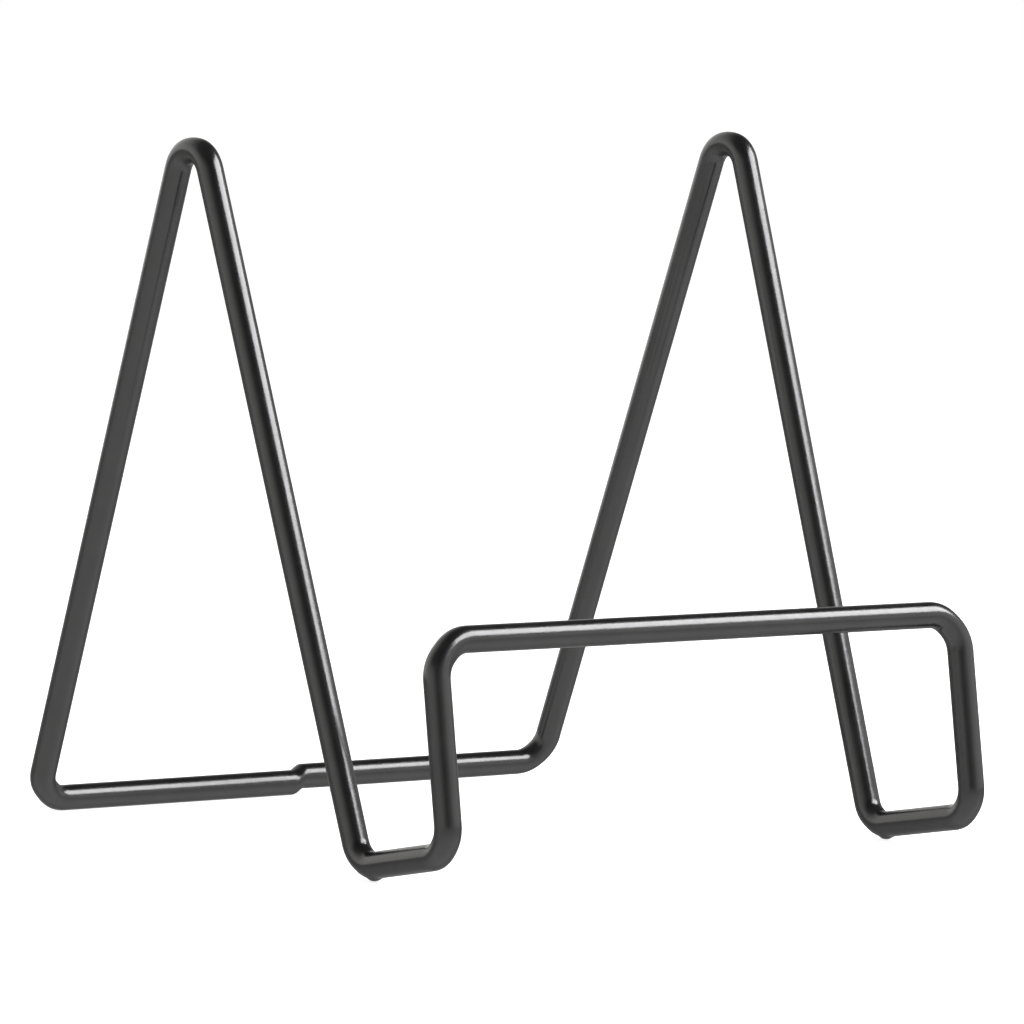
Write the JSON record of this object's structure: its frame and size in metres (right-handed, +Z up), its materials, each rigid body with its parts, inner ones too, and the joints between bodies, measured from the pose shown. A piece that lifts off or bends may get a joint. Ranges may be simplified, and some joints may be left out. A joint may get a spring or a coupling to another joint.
{
  "type": "wire easel stand",
  "caption": "Open easel stand bent from round wire in a closed loop, with arched sides, short ledge arms and a raised front lip that hold an album or frame upright.",
  "frame": {"origin": "on the table, under the middle of the stand's bounding box", "axes": "+X to the right seen from the front, +Y from the lip to the rear bar, +Z up"},
  "size_m": [0.1054, 0.112, 0.1073],
  "materials": {
    "black_coat": "satin powder coat on steel wire"
  },
  "bodies": {
    "root": {"rear_bar_left": "black_coat", "rear_corner_left": "black_coat", "rear_leg_left": "black_coat", "apex_bend_left": "black_coat", "front_leg_left": "black_coat", "foot_bend_left": "black_coat", "ledge_arm_left": "black_coat", "ledge_bend_left": "black_coat", "lip_riser_left": "black_coat", "lip_corner_left": "black_coat", "lip_bar": "black_coat", "lip_corner_right": "black_coat", "lip_riser_right": "black_coat", "ledge_bend_right": "black_coat", "ledge_arm_right": "black_coat", "foot_bend_right": "black_coat", "front_leg_right": "black_coat", "apex_bend_right": "black_coat", "rear_leg_right": "black_coat", "rear_corner_right": "black_coat", "rear_bar_right": "black_coat", "butt_weld": "black_coat"}
  },
  "joints": []
}
